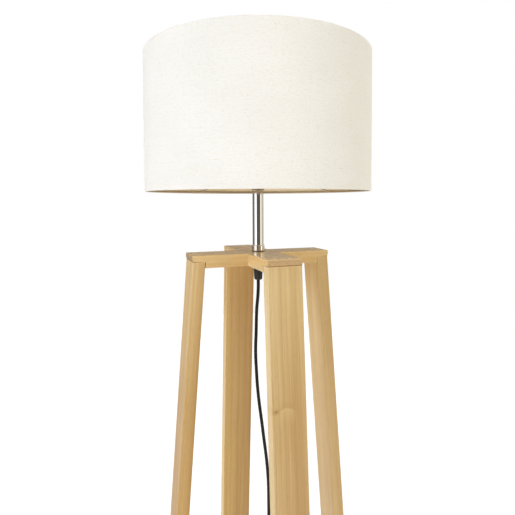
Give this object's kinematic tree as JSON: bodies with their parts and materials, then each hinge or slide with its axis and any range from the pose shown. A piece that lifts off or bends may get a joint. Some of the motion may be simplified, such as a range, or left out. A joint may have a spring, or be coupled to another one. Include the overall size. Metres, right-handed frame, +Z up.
{
  "type": "floor lamp",
  "caption": "Corded floor lamp with splayed wooden plank legs under a half-lapped cross, a chrome stem, a linen drum shade and a foot switch.",
  "frame": {"origin": "on the floor under the stem's axis, in the middle of the four feet", "axes": "+Z up along the stem, +X along the right arm of the cross, -Y along the front arm"},
  "size_m": [0.4194, 0.4194, 1.5],
  "materials": {
    "wood_top": "semi-gloss clear lacquer",
    "wood_leg": "satin clear lacquer",
    "wood_plug": "satin",
    "chrome": "polished",
    "zinc_steel": "zinc plated",
    "spring_steel": "bright",
    "brass": "bright",
    "nickel": "nickel plated",
    "aluminium": "rolled",
    "black_plastic": "fine texture",
    "button_plastic": "satin",
    "ceramic": "glazed",
    "white_plastic": "satin",
    "opal": "opal diffuser",
    "glide": "matte",
    "cord_black": "semi-matte flexible PVC",
    "core_brown": "PVC",
    "tie_fabric": "hook and loop",
    "fitter_wire": "nickel plated wire",
    "lining": "matte styrene sheet, gold toned",
    "linen": "woven linen"
  },
  "bodies": {
    "base": {"top_board_long": "wood_top", "top_board_cross": "wood_top", "leg_right": "wood_leg", "leg_back": "wood_leg", "leg_left": "wood_leg", "leg_front": "wood_leg", "leg_screws": "zinc_steel", "screw_plugs": "wood_plug", "foot_glides": "glide", "stem_tube": "chrome", "collar_bottom": "chrome", "collar_top": "chrome", "threaded_rod": "zinc_steel", "under_washer": "zinc_steel", "under_nut": "zinc_steel", "cord_gland": "black_plastic", "inner_lead": "cord_black", "lead_cores": "core_brown", "holder_cap": "black_plastic", "holder_shell": "black_plastic", "holder_insert": "ceramic", "holder_thread_shell": "brass", "holder_centre_contact": "brass", "holder_terminal_screws": "zinc_steel", "shade_clamp_ring": "black_plastic", "bulb_globe": "opal", "bulb_collar": "white_plastic", "bulb_cap": "aluminium", "bulb_insulator": "black_plastic", "bulb_contact": "aluminium", "cord_drop": "cord_black", "switch_base": "black_plastic", "switch_cover": "black_plastic", "switch_spring": "spring_steel", "switch_block": "ceramic", "switch_contacts": "brass", "switch_screws": "zinc_steel", "switch_reliefs": "cord_black", "cord_link": "cord_black", "cord_coil": "cord_black", "cord_end": "cord_black", "cord_tie": "tie_fabric", "plug_body": "black_plastic", "plug_pins": "nickel", "plug_relief": "cord_black"},
    "shade": {"shade_fitter": "fitter_wire", "shade_top_ring": "fitter_wire", "shade_lining": "lining", "shade_linen": "linen"},
    "button": {"switch_button": "button_plastic"}
  },
  "joints": [
    {"name": "shade_turn", "type": "hinge", "parent": "base", "child": "shade", "pos_m": [0, 0, 1.305], "axis": [0, 0, 1], "continuous": true},
    {"name": "button_press", "type": "slide", "parent": "base", "child": "button", "axis": [0, 0, -1], "range_m": [0, 0.003], "stiffness_N_per_m": 400, "springref_m": -0.004, "deforming": ["switch_spring"]}
  ]
}
